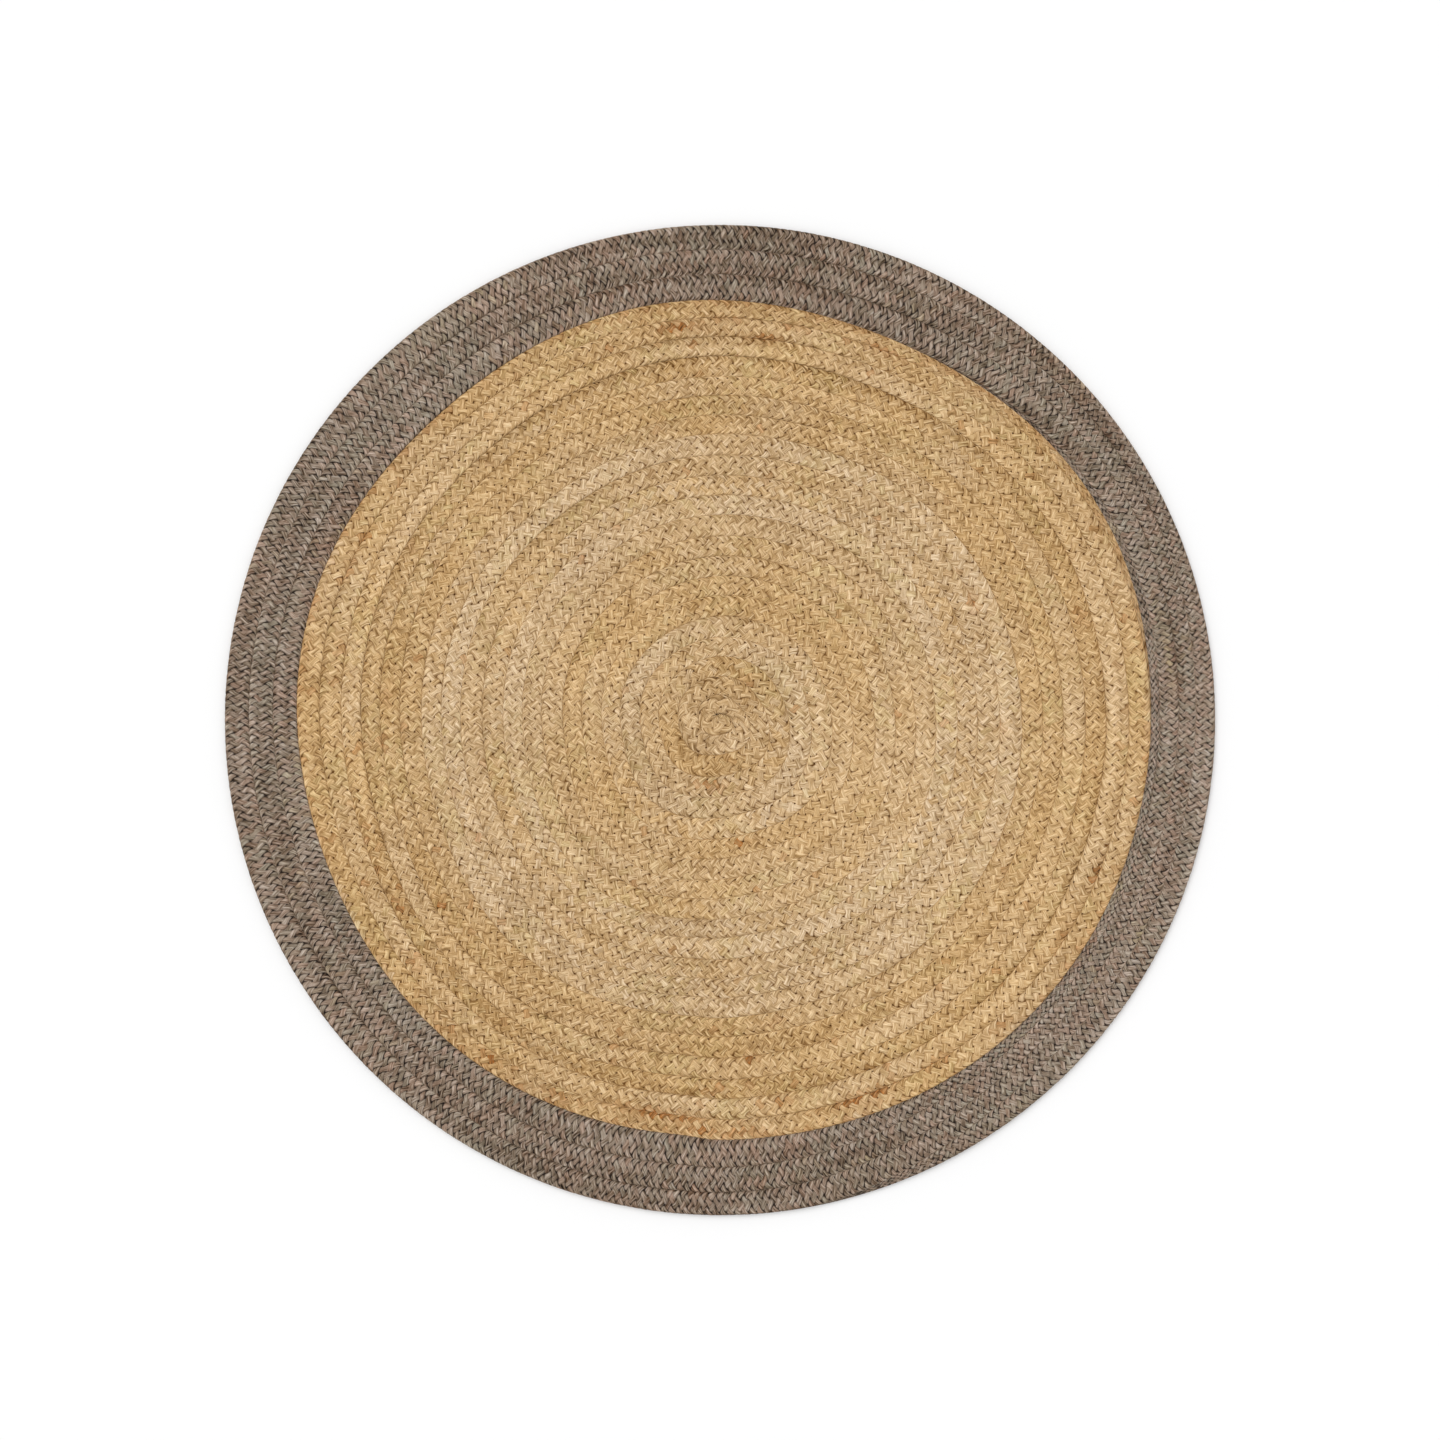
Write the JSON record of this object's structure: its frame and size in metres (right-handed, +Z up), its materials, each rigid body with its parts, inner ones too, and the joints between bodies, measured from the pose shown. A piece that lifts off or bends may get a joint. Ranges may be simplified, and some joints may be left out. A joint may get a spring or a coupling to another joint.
{
  "type": "round braided rug",
  "caption": "Flat round floor rug of braided natural jute coiled in a spiral, with a grey braided border and a rounded rim.",
  "frame": {"origin": "centre of the underside, on the floor", "axes": "+Z up out of the tread face, +Y towards the top of the rug as seen from above, +X to the right"},
  "size_m": [1.2, 1.2, 0.0092],
  "materials": {
    "natural_jute": "matt natural jute braid, golden beige with paler, olive and rust streaks",
    "grey_jute": "matt grey-dyed jute braid, taupe grey with brown flecks"
  },
  "bodies": {
    "root": {"natural_field": "natural_jute", "grey_border": "grey_jute"}
  },
  "joints": []
}
